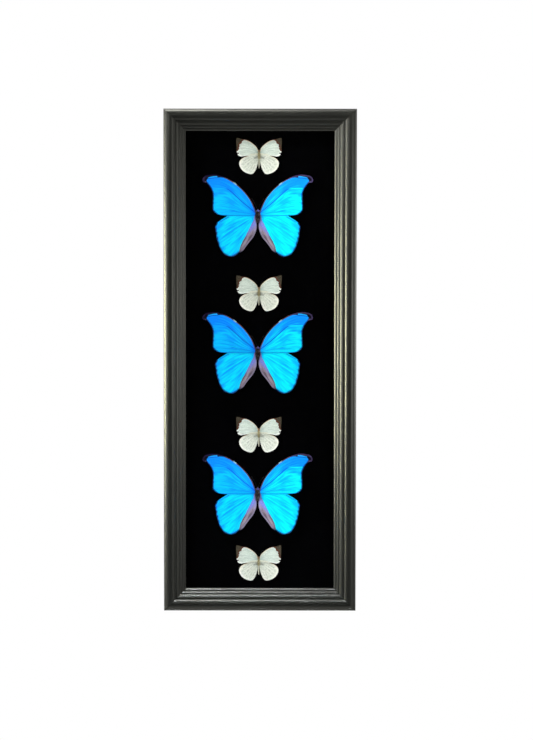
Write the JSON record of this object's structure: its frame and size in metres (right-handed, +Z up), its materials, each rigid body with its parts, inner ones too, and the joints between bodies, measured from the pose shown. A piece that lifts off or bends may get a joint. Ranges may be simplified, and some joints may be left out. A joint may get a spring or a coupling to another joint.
{
  "type": "framed butterfly specimens",
  "caption": "Tall shadow-box frame with spread blue and white butterflies behind glass on a black board, hung by a sawtooth hanger.",
  "frame": {"origin": "top of the sawtooth hanger's middle notch, at the middle of the strip's thickness, where the frame bears on its wall nail", "axes": "+Z up, +X to the viewer's right, +Y towards the wall; the glass faces -Y"},
  "size_m": [0.216, 0.0426, 0.564],
  "materials": {
    "lacquered_moulding": "satin black lacquer on a stepped wooden moulding",
    "glass": "clear picture glass",
    "spacer": "matt black strip",
    "velvet_board": "board faced with black velvet paper",
    "hardboard": "brown hardboard, rough side out",
    "points": "bare spring steel",
    "hanger_steel": "zinc-plated steel",
    "bumper": "soft moulded rubber",
    "blue_wing": "iridescent blue wing scales with a dark tip and a violet-grey inner fold",
    "blue_body": "dark insect body with grey-brown hair",
    "white_wing": "chalky white wing scales with a brown tip",
    "white_body": "olive-yellow insect body with pale hair"
  },
  "bodies": {
    "root": {"left_rail": "lacquered_moulding", "top_rail": "lacquered_moulding", "right_rail": "lacquered_moulding", "bottom_rail": "lacquered_moulding", "glass_pane": "glass", "left_spacer": "spacer", "right_spacer": "spacer", "top_spacer": "spacer", "bottom_spacer": "spacer", "display_board": "velvet_board", "backing_board": "hardboard", "framers_point_1": "points", "framers_point_2": "points", "framers_point_3": "points", "framers_point_4": "points", "framers_point_5": "points", "framers_point_6": "points", "framers_point_7": "points", "framers_point_8": "points", "sawtooth_hanger": "hanger_steel", "left_hanger_nail": "hanger_steel", "right_hanger_nail": "hanger_steel", "left_wall_bumper": "bumper", "right_wall_bumper": "bumper", "blue_butterfly_1_body": "blue_body", "blue_butterfly_1_left_forewing": "blue_wing", "blue_butterfly_1_right_forewing": "blue_wing", "blue_butterfly_1_left_hindwing": "blue_wing", "blue_butterfly_1_right_hindwing": "blue_wing", "blue_butterfly_2_body": "blue_body", "blue_butterfly_2_left_forewing": "blue_wing", "blue_butterfly_2_right_forewing": "blue_wing", "blue_butterfly_2_left_hindwing": "blue_wing", "blue_butterfly_2_right_hindwing": "blue_wing", "blue_butterfly_3_body": "blue_body", "blue_butterfly_3_left_forewing": "blue_wing", "blue_butterfly_3_right_forewing": "blue_wing", "blue_butterfly_3_left_hindwing": "blue_wing", "blue_butterfly_3_right_hindwing": "blue_wing", "white_butterfly_1_body": "white_body", "white_butterfly_1_left_forewing": "white_wing", "white_butterfly_1_right_forewing": "white_wing", "white_butterfly_1_left_hindwing": "white_wing", "white_butterfly_1_right_hindwing": "white_wing", "white_butterfly_2_body": "white_body", "white_butterfly_2_left_forewing": "white_wing", "white_butterfly_2_right_forewing": "white_wing", "white_butterfly_2_left_hindwing": "white_wing", "white_butterfly_2_right_hindwing": "white_wing", "white_butterfly_3_body": "white_body", "white_butterfly_3_left_forewing": "white_wing", "white_butterfly_3_right_forewing": "white_wing", "white_butterfly_3_left_hindwing": "white_wing", "white_butterfly_3_right_hindwing": "white_wing", "white_butterfly_4_body": "white_body", "white_butterfly_4_left_forewing": "white_wing", "white_butterfly_4_right_forewing": "white_wing", "white_butterfly_4_left_hindwing": "white_wing", "white_butterfly_4_right_hindwing": "white_wing"}
  },
  "joints": []
}
